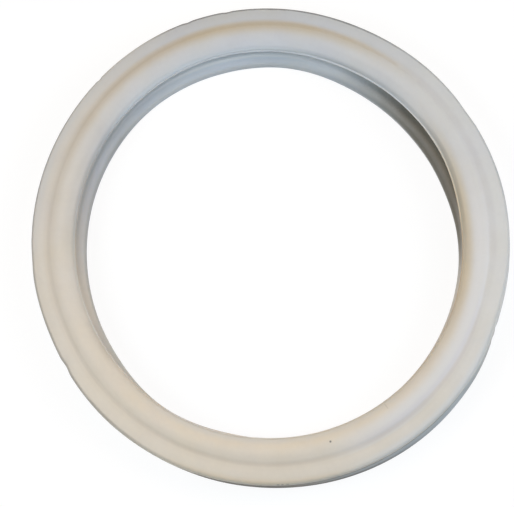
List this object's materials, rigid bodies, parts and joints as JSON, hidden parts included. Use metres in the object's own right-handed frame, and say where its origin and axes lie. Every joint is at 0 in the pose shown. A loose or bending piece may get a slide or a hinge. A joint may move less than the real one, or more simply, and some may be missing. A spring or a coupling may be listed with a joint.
{
  "type": "lens gasket",
  "caption": "Round white silicone gasket that wraps the rim of a light's lens, with an inward channel, a rolled front bead and a flat back.",
  "frame": {"origin": "on the ring's axis, in the plane of the flat back face that it rests on", "axes": "+Z along the ring's axis, towards the front bead; the ring is round, so X and Y are any two directions across it"},
  "size_m": [0.2222, 0.2222, 0.0206],
  "materials": {
    "silicone": "satin moulded silicone, white, slightly yellowed in the valley round the bead"
  },
  "bodies": {
    "root": {"lens_gasket": "silicone"}
  },
  "joints": []
}
